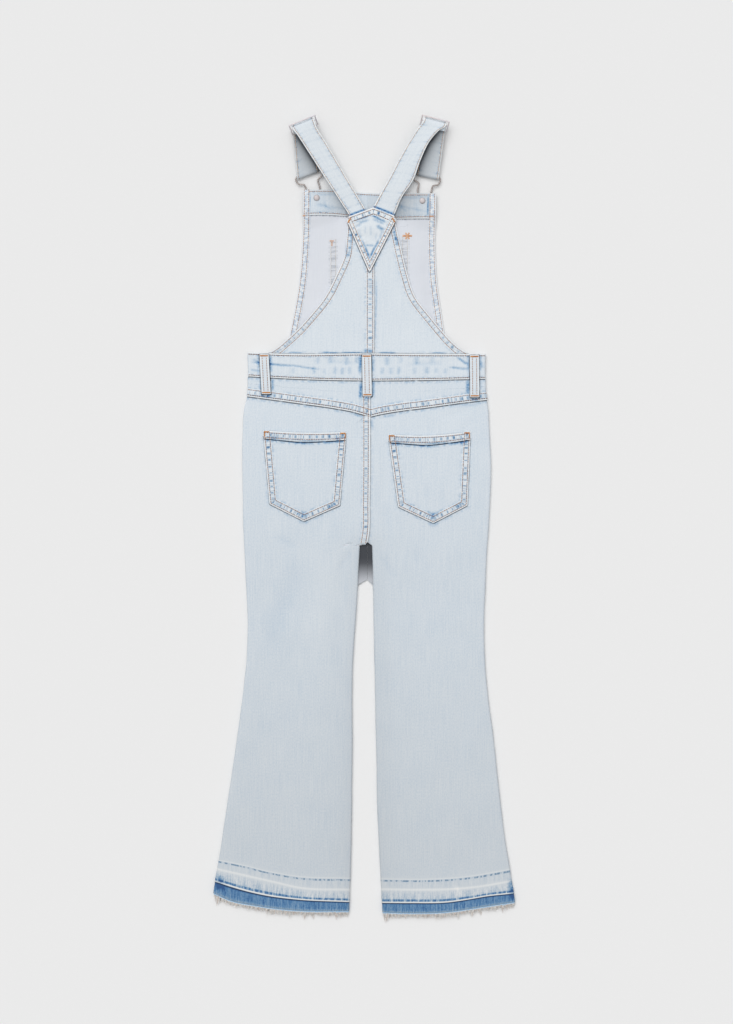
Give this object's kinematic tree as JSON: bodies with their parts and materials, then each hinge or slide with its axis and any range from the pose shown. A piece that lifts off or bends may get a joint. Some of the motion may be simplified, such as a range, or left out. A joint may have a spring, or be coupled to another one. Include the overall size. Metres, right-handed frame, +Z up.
{
  "type": "kids dungarees",
  "caption": "Flared kids' denim dungarees laid flat, back uppermost, with crossed-back patch, buckled straps, bib, back pockets and let-down frayed hems.",
  "frame": {"origin": "centre of the bounding box in plan, on the surface that the garment lies on", "axes": "+Y from the hems towards the straps, +X towards the wearer's right, +Z up from the surface, out of the garment's back"},
  "size_m": [0.422, 1.1222, 0.023],
  "materials": {
    "denim": "pale washed cotton twill",
    "denim_inside": "weft side of pale washed cotton twill",
    "raw_hem": "ravelled cotton yarn at a raw edge",
    "nickel": "nickel plated wire, polished"
  },
  "bodies": {
    "root": {"back_leg_left": "denim", "back_leg_right": "denim", "front_leg_left": "denim", "front_leg_right": "denim", "back_yoke_left": "denim", "back_yoke_right": "denim", "back_waistband": "denim", "front_waistband": "denim", "upper_back_left": "denim", "upper_back_right": "denim", "strap_patch": "denim", "back_pocket_left": "denim", "back_pocket_right": "denim", "belt_loop_left": "denim", "belt_loop_centre": "denim", "belt_loop_right": "denim", "strap_left": "denim", "strap_right": "denim", "bib": "denim_inside", "bib_facing": "denim", "bib_pocket": "denim", "fray_back_left": "raw_hem", "fray_back_right": "raw_hem", "fray_front_left": "raw_hem", "fray_front_right": "raw_hem", "slider_left": "nickel", "slider_right": "nickel", "clasp_left": "nickel", "clasp_right": "nickel", "button_left": "nickel", "button_right": "nickel", "button_tack_left": "nickel", "button_tack_right": "nickel"}
  },
  "joints": []
}
